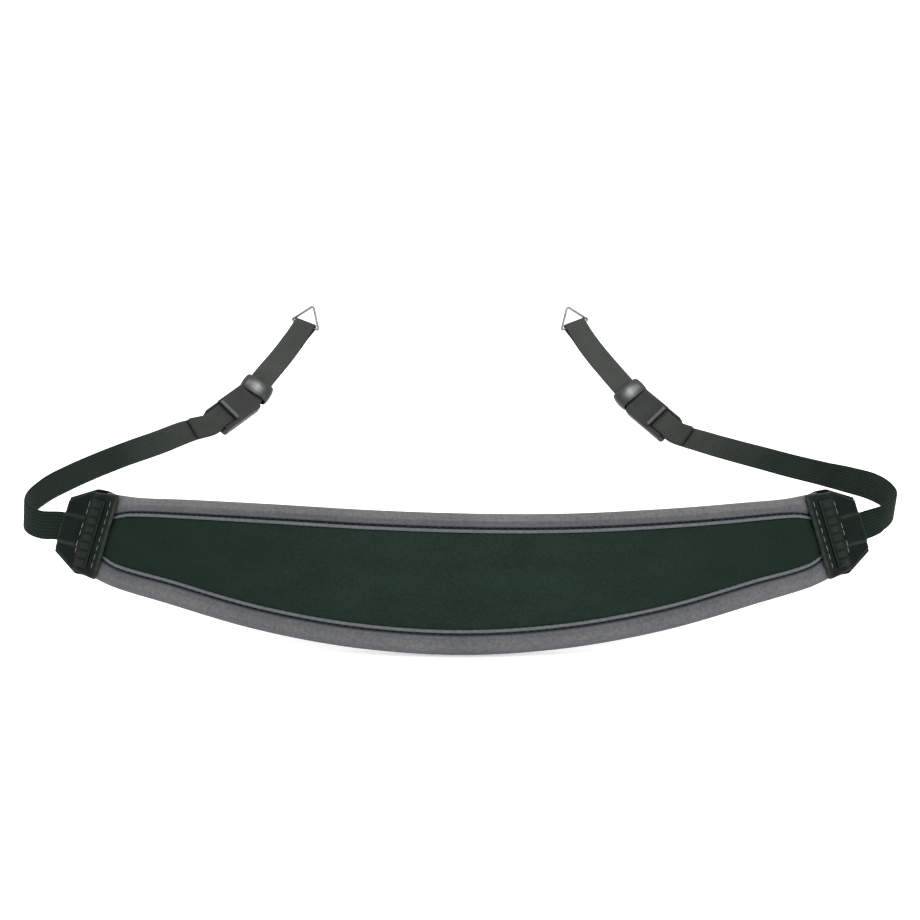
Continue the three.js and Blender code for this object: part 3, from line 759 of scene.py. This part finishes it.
def add_seam_stitches():
    """Thread lying in both grooves, and coming out along the same two lines on the back."""
    reach = HALF_LENGTH - 2.5
    count = round(2 * reach / STITCH_PITCH)
    for across, word in ((0, "lower"), (1, "upper")):
        front, back = [], []
        for k in range(count + 1):
            along = mix(-reach, reach, k / count)
            here = seam_height(along, across)
            ahead = pad_point(along + 1, seam_height(along + 1, across), 0)
            direction = ahead - pad_point(along, here, 0)
            outward = pad_point(along, here, 1) - pad_point(along, here, 0)
            thin = pad_half_thickness(along) / HALF_THICKNESS
            inset = 0.3 if across == 0 else -0.3
            front.append((pad_point(along, here + inset, 1.0 * thin), direction, outward))
            back.append((pad_point(along, here, -2.55 * thin), direction, -outward))
        stitches(f"seam_thread_{word}", front, 2.1, 0.42, SEAM_THREAD)
        stitches(f"back_thread_{word}", back, 2.0, 0.5, SEAM_THREAD)


def seam_height(along, across):
    edge = outline_at(along)
    return edge.high - edge.high_rim if across else edge.low + edge.low_rim


# ---- End tabs -----------------------------------------------------------------------------

LEAF_STEP = 0.62

# Where the tab is sewn: distance beyond the pad's end, and the heights between which each row
# of stitches runs.
OUTER_ROWS = [(11.1, 18.4, 23.2), (11.1, 24.6, 29.6), (11.1, 32.2, 37.4)]
INNER_ROW = (0.4, 14.5, 39.4)
DITCH = 0.22
POCKET_STEP = 0.42


def leaf_out(beyond, height):
    """How far out a leaf's middle lies: raised over the webbing's sewn end, pressed down beside
    it and drawn in along the two stitched lines."""
    beside = smooth(4.6, 5.6, abs(height - WEBBING_HEIGHT)) * smooth(7.5, 12.5, beyond)
    out = leaf_inside(beyond) + LEAF / 2 - POCKET_STEP * beside
    for line, low, high in (*OUTER_ROWS, INNER_ROW):
        within = smooth(low - 1, low, height) * (1 - smooth(high, high + 1, height))
        out -= DITCH * hill(beyond, line, 0.55) * within
    return out


def add_leaf(name, word, face, border):
    side = SIDES[word]
    reach = TAB_LENGTH - border
    start = -TAB_OVERLAP[face]
    rows = round((reach - start) / LEAF_STEP)
    columns = round((TAB_HIGH - TAB_LOW) / LEAF_STEP)

    def spot(i, j):
        beyond = mix(start, reach, i / rows)
        low, high = tab_edges(beyond, border)
        return beyond, mix(low, high, j / columns), low, high

    def place(i, j):
        beyond, height, _, _ = spot(i, j)
        return pad_point(side * (HALF_LENGTH + beyond), height, face * leaf_out(beyond, height))

    def tone(i, j):
        beyond, height, low, high = spot(i, j)
        # Paler along the front leaf's edges, worn and partly a painted highlight, and on the
        # pocket's raised lines, a painted highlight.
        rim = min(height - low, high - height, reach - beyond, beyond - start)
        pocket = hill(abs(height - WEBBING_HEIGHT), 4.8, 0.35) * smooth(10, 12, beyond)
        return max(0.5 * hill(rim, 0, 0.5), 0.4 * pocket) * (face == 1)

    bm = skin(rows, columns, place, (reach - start, TAB_HIGH - TAB_LOW), tone)
    leaf = finished(f"{name}_{word}_leather", bm, LEATHER, [f"{name}_{word}"])
    add_solidify(leaf, LEAF)
    add_subdivision(leaf, 2)


def add_band(word):
    """The raised band across the tab, with plain pressed bars."""
    side = SIDES[word]
    rows, columns = 16, 92
    bars, bar_share = 8, 0.62

    def spot(i, j):
        return mix(BAND_FROM, BAND_TO, i / rows), mix(BAND_LOW, BAND_HIGH, j / columns)

    def bar(beyond, height):
        phase = (height - BAND_LOW) / (BAND_HIGH - BAND_LOW) * bars % 1
        inside = smooth(bar_share / 2 + 0.08, bar_share / 2 - 0.06, abs(phase - 0.5))
        within = smooth(BAND_FROM + 0.9, BAND_FROM + 1.5, beyond)
        return inside * within * (1 - smooth(BAND_TO - 1.5, BAND_TO - 0.9, beyond))

    def place(i, j):
        beyond, height = spot(i, j)
        out = leaf_inside(beyond) + LEAF + 0.27 + 0.2 * bar(beyond, height)
        return pad_point(side * (HALF_LENGTH + beyond), height, out)

    def tone(i, j):
        beyond, height = spot(i, j)
        rim = min(beyond - BAND_FROM, BAND_TO - beyond, height - BAND_LOW, BAND_HIGH - height)
        return max(0.16 * bar(beyond, height), 0.3 * hill(rim, 0, 0.35))

    bm = skin(rows, columns, place, (BAND_TO - BAND_FROM, BAND_HIGH - BAND_LOW), tone)
    band = finished(f"tab_band_{word}_leather", bm, LEATHER, [f"tab_band_{word}"])
    add_solidify(band, 0.45)
    add_subdivision(band, 1)


def add_tab_stitches(word):
    side = SIDES[word]
    pitch, length = 3.0, 2.5
    spots = []
    for beyond, low, high in (*OUTER_ROWS, INNER_ROW):
        count = round((high - low) / pitch)
        for k in range(count):
            height = mix(low, high, (k + 0.5) / count)
            along = side * (HALF_LENGTH + beyond)
            for face in (1, -1):
                out = face * (leaf_out(beyond, height) + LEAF / 2 + 0.04)
                middle = pad_point(along, height, out)
                direction = pad_point(along, height + 1, out) - middle
                outward = pad_point(along, height, out + face) - middle
                spots.append((middle, direction, outward))
    stitches(f"tab_thread_{word}", spots, length, 0.36, TAB_THREAD)


# ---- Webbing ------------------------------------------------------------------------------

RIBS = 8
RIB_POINTS = 4
WEAVE_PITCH = 1.6
WEAVE_HEIGHT = 0.11
WEBBING_STEP = 0.5


def webbing_stations(line, tail_end):
    """Middle, width axis and outward axis of each section, round the ring's bar and back."""
    def opening(from_ring):
        return mix(FOLD_RADIUS, LAYER_OFFSET, smooth(0, FOLD_RUN, from_ring))

    stations = []
    run = round(line.length / WEBBING_STEP)
    for i in range(run + 1):
        from_ring = line.length * (1 - i / run)
        at = line.frame(from_ring)
        parted = 1 - smooth(LAYERS_PART_AT, LAYERS_PART_AT + LAYERS_PART_RUN, from_ring)
        stations.append((at.at - at.inner * opening(from_ring) * parted, at.across, -at.inner))
    bar = line.frame(0)
    turns = 14
    for i in range(1, turns):
        a = math.pi * i / turns
        outward = bar.towards * math.sin(a) - bar.inner * math.cos(a)
        stations.append((bar.at + outward * FOLD_RADIUS, bar.across, outward))
    tail = round(tail_end / WEBBING_STEP)
    for i in range(tail + 1):
        from_ring = tail_end * i / tail
        at = line.frame(from_ring)
        stations.append((at.at + at.inner * opening(from_ring), at.across, at.inner))
    return stations


def add_webbing(word, line, tail_end):
    """Flat woven webbing with raised, staggered ribs and rolled selvedges."""
    stations = webbing_stations(line, tail_end)
    rows = len(stations) - 1
    travelled = [0.0]
    for (a, _, _), (b, _, _) in zip(stations, stations[1:]):
        travelled.append(travelled[-1] + (b - a).length)
    half_width, half_thick = WEBBING_WIDTH / 2, WEBBING_THICKNESS / 2
    rounding = 0.4
    flat = half_width - rounding
    face_points = RIBS * RIB_POINTS
    section = []
    for sign in (1, -1):
        for k in range(face_points + 1):
            y = mix(-flat, flat, k / face_points) * sign
            section.append((y, sign * (half_thick - WEAVE_HEIGHT / 2), k, sign))
        for degrees in (45, 0, -45):
            a = math.radians(degrees * sign)
            y = sign * (flat + rounding * math.cos(a))
            section.append((y, math.sin(a) * half_thick * 0.85, None, sign))

    def crossing(i, j):
        """Height of the weave: 1 where a rib's yarn lies on top, 0 between."""
        _, _, k, sign = section[j % len(section)]
        if k is None:
            return 0.55 + 0.3 * math.cos(2 * math.pi * travelled[i] / WEAVE_PITCH)
        rib, part = divmod(k, RIB_POINTS)
        across = math.sin(math.pi * part / RIB_POINTS)
        along = 0.5 + 0.5 * math.cos(2 * math.pi * (travelled[i] / WEAVE_PITCH + rib / 2))
        return across * (0.35 + 0.65 * along)

    def place(i, j):
        middle, across, outward = stations[i]
        y, z, _, sign = section[j]
        rise = (crossing(i, j) - 0.4) * WEAVE_HEIGHT
        melted = 1 - 0.18 * smooth(travelled[-1] - 1.2, travelled[-1], travelled[i])
        return middle + across * y * melted + outward * (z + sign * rise) * melted

    def tone(i, j):
        # Painted highlight on the raised crossings, none on the melted end.
        singed = smooth(travelled[-1] - 1.4, travelled[-1] - 0.7, travelled[i])
        return crossing(i, j) * (1 - singed)

    girth = 2 * (WEBBING_WIDTH + WEBBING_THICKNESS)
    bm = skin(rows, len(section), place, (travelled[-1], girth), tone, roll=True)
    finished(f"webbing_{word}_weave", bm, WEAVE, [f"webbing_{word}"])


# ---- Hard fittings ------------------------------------------------------------------------

Bar = namedtuple("Bar", "x0 x1 y0 y1 z0 z1 bevel")

# The adjuster's bars: x towards the ring, y across the webbing and z out of its inner face.
ADJUSTER_BARS = [
    Bar(-11.5, 11.5, -7.2, -5.05, -2.66, 2.3, 0.9),
    Bar(-11.5, 11.5, 5.05, 6, -2.66, 1.3, 0.4),
    Bar(-3.9, 11.5, 5.05, 6, 0, 2.5, 0.4),
    Bar(-3.8, 11.5, -6.4, 5.7, 1.46, 2.66, 0.4),
    Bar(8.1, 11.5, -6.4, 5.7, -2.66, -1.46, 0.4),
    Bar(-11.5, -8.1, -6.4, 5.7, -2.66, -1.46, 0.4),
    Bar(-4.1, -2.3, -5.4, 4.9, 1.5, 3.36, 0.7),
]
# How strongly the top of the adjuster's ridge is painted with a highlight.
RIDGE_HIGHLIGHT = 0.2


def placed(bm, at, x_axis, y_axis, z_axis):
    """Stands a shape made in its own axes on the webbing."""
    axes = Matrix((x_axis, y_axis, z_axis)).transposed().to_4x4()
    bmesh.ops.transform(bm, matrix=Matrix.Translation(at) @ axes, verts=bm.verts)
    bmesh.ops.recalc_face_normals(bm, faces=bm.faces)


def bevelled_bar(bar):
    bm = bmesh.new()
    bmesh.ops.create_cube(bm, size=1)
    size = (bar.x1 - bar.x0, bar.y1 - bar.y0, bar.z1 - bar.z0)
    middle = Vector((bar.x0 + bar.x1, bar.y0 + bar.y1, bar.z0 + bar.z1)) / 2
    bmesh.ops.scale(bm, vec=size, verts=bm.verts)
    bmesh.ops.translate(bm, vec=middle, verts=bm.verts)
    bmesh.ops.bevel(bm, geom=bm.edges, offset=bar.bevel, offset_type="OFFSET", segments=4,
                    profile=0.5, affect="EDGES", material=-1)
    return bm


def loose_object(bm):
    mesh = bpy.data.meshes.new("bar")
    bm.to_mesh(mesh)
    bm.free()
    piece = bpy.data.objects.new("bar", mesh)
    bpy.context.scene.collection.objects.link(piece)
    return piece


def united(shapes):
    """One closed shape from several that overlap."""
    first, *others = [loose_object(bm) for bm in shapes]
    for other in others:
        add_modifier(first, "BOOLEAN", operation="UNION", solver="EXACT", object=other)
    graph = bpy.context.evaluated_depsgraph_get()
    mesh = bpy.data.meshes.new_from_object(first.evaluated_get(graph))
    bm = bmesh.new()
    bm.from_mesh(mesh)
    for piece in (first, *others):
        bpy.data.objects.remove(piece)
    return bm


def add_adjuster(word, at):
    bm = united([bevelled_bar(bar) for bar in ADJUSTER_BARS])
    shade = bm.verts.layers.float.new("tone")
    for vert in bm.verts:
        # Painted highlight along the top of the ridge.
        vert[shade] = RIDGE_HIGHLIGHT * smooth(2.8, 3.2, vert.co.z)
    placed(bm, at.at, at.towards, at.across, at.inner)
    finished(f"adjuster_{word}_slide", bm, ADJUSTER_PLASTIC,
             [f"adjuster_{word}"], smooth_faces=False)


def add_keeper(word, at):
    """A rounded plastic loop, domed on its outer faces, with a painted highlight near their
    middles."""
    half_width, half_height = 6.2, 2.4
    wall, half_length, dome_height = 0.45, 3.9, 0.8
    highlight_x, highlight_y, highlight_length, highlight_width = -0.8, 0.4, 2.1, 2.4
    rows, columns = 72, 24

    def place(i, j):
        a = 2 * math.pi * i / rows
        ring = Vector((0, math.copysign(abs(math.cos(a)) ** 0.35, math.cos(a)) * half_width,
                       math.copysign(abs(math.sin(a)) ** 0.6, math.sin(a)) * half_height))
        away = Vector((0, math.cos(a) / half_width, math.sin(a) / half_height)).normalized()
        b = 2 * math.pi * j / columns
        lengthwise = math.copysign(abs(math.cos(b)) ** 0.55, math.cos(b)) * half_length
        thick = math.copysign(abs(math.sin(b)) ** 0.8, math.sin(b)) * wall
        dome = dome_height * (1 - (lengthwise / half_length) ** 2) if thick > 0 else 0
        dome *= 1 - 0.5 * (ring.y / half_width) ** 2
        return ring + away * (thick + dome) + Vector((lengthwise, 0, 0))

    bm = skin(rows, columns, place, (36, 16), roll=True, ring=True)
    shade = bm.verts.layers.float["tone"]
    for vert in bm.verts:
        # Painted highlight on the outer faces.
        spot = hill(vert.co.x, highlight_x, highlight_length) * hill(vert.co.y, highlight_y, highlight_width)
        vert[shade] = spot * smooth(2, 3, abs(vert.co.z))
    placed(bm, at.at, at.towards, at.across, at.inner)
    finished(f"keeper_{word}_loop", bm, KEEPER_PLASTIC, [f"keeper_{word}"])


def rounded_triangle(height, share):
    """A point on the ring's line, at a share of one turn from the middle of its lower bar."""
    corners = [Vector((RING_HALF_WIDTH, 0)), Vector((0, height)), Vector((-RING_HALF_WIDTH, 0))]
    stops = [(corners[2] + corners[0]) / 2, corners[0], corners[1], corners[2]]
    stops.append(stops[0])
    lengths = [(b - a).length for a, b in zip(stops, stops[1:])]
    travelled = share % 1 * sum(lengths)
    for a, b, length in zip(stops, stops[1:], lengths):
        if travelled <= length:
            return a.lerp(b, travelled / length)
        travelled -= length
    return stops[0]


def add_ring(word, line):
    """Spring wire wound twice round a triangle, as split rings are."""
    at = line.frame(0)
    aim = Vector((SIDES[word] * RING_AIM_X, 0, RING_AIM_Z))
    rise = aim - at.at
    rise -= at.across * rise.dot(at.across)
    upward = rise.normalized()
    beside = at.across.cross(upward)
    turns, steps, sides = 2, 150, 10
    wire, corner_blur = 0.42, 0.028

    def middle(share):
        taps = [rounded_triangle(rise.length, share + corner_blur * d / 4) for d in range(-4, 5)]
        flat = sum(taps, Vector((0, 0))) / len(taps)
        drift = mix(-wire, wire, smooth(0.85, 1.15, share))
        return at.at + at.across * flat.x + upward * flat.y + beside * drift

    def place(i, j):
        share = mix(0.03, turns - 0.03, i / steps)
        here = middle(share)
        ahead = (middle(share + 0.004) - middle(share - 0.004)).normalized()
        first = beside - ahead * beside.dot(ahead)
        first.normalize()
        second = ahead.cross(first)
        a = 2 * math.pi * j / sides
        blunt = min(1, (min(i, steps - i) + 0.5) / 1.5)
        return here + (first * math.cos(a) + second * math.sin(a)) * wire * blunt

    bm = skin(steps, sides, place, (90, 2 * math.pi * wire), roll=True)
    finished(f"ring_{word}_wire", bm, RING_STEEL, [f"ring_{word}"])


# ---- Assembly -----------------------------------------------------------------------------

add_neck_pad()
add_centre_panel()
add_piping("piping_lower", 0)
add_piping("piping_upper", 1)
add_seam_stitches()

for word in SIDES:
    line, held = webbing_line(word)
    add_leaf("tab_back", word, -1, 0)
    add_leaf("tab_front", word, 1, BORDER)
    add_band(word)
    add_tab_stitches(word)
    add_webbing(word, line, FITTINGS[word].tail_end)
    add_adjuster(word, held)
    add_keeper(word, line.frame(FITTINGS[word].keeper))
    add_ring(word, line)


# ---- Stage --------------------------------------------------------------------------------

WORLD_STRENGTH = 1.16
# The floor glows, which hides most of the strap's shadow on it.
FLOOR_GLOW = 0.4
STAGE_MIDDLE = (0.009, -0.16, -0.03)


def add_floor():
    bm = bmesh.new()
    bmesh.ops.create_grid(bm, x_segments=1, y_segments=1, size=6)
    bmesh.ops.translate(bm, vec=(0, 0, cad_box[0][2] - 0.0004), verts=bm.verts)
    mesh = bpy.data.meshes.new("floor")
    bm.to_mesh(mesh)
    bm.free()
    paper = Finish("floor_paper")
    grain = paper.noise(paper.space(), 300, 3, 0.5)
    shade = paper.blend(grain, (0.96, 0.96, 0.96, 1), (0.98, 0.98, 0.98, 1))
    mesh.materials.append(paper.finish(
        shade, 0.9, specular_ior_level=0.1, emission_color=(1, 1, 1, 1),
        emission_strength=FLOOR_GLOW))
    floor = bpy.data.objects.new("floor", mesh)
    bpy.context.scene.collection.objects.link(floor)


def add_softbox(name, place, aim, width, power):
    light = bpy.data.lights.new(name, "AREA")
    light.shape = "RECTANGLE"
    light.size, light.size_y = width, width * 0.7
    light.energy = power
    lamp = bpy.data.objects.new(name, light)
    lamp.location = place
    lamp.rotation_euler = (Vector(aim) - Vector(place)).to_track_quat("-Z", "Y").to_euler()
    bpy.context.scene.collection.objects.link(lamp)


def add_lights():
    world = bpy.data.worlds.new("studio")
    world.use_nodes = True
    background = world.node_tree.nodes["Background"]
    background.inputs["Color"].default_value = (1, 1, 1, 1)
    background.inputs["Strength"].default_value = WORLD_STRENGTH
    bpy.context.scene.world = world
    add_softbox("overhead", (0.05, -0.35, 1.1), STAGE_MIDDLE, 0.5, 5)
    add_softbox("front", (0.7, -1.1, 0.45), STAGE_MIDDLE, 0.5, 2)


def add_camera():
    data = bpy.data.cameras.new("camera")
    data.sensor_width = 36
    data.lens = 78.26
    camera = bpy.data.objects.new("camera", data)
    camera.location = (0.0083, -0.877, 0.18)
    camera.rotation_euler = (math.radians(74), 0, 0)
    bpy.context.scene.collection.objects.link(camera)
    bpy.context.scene.camera = camera


add_floor()
add_lights()
add_camera()
bpy.context.scene.view_settings.view_transform = "Standard"
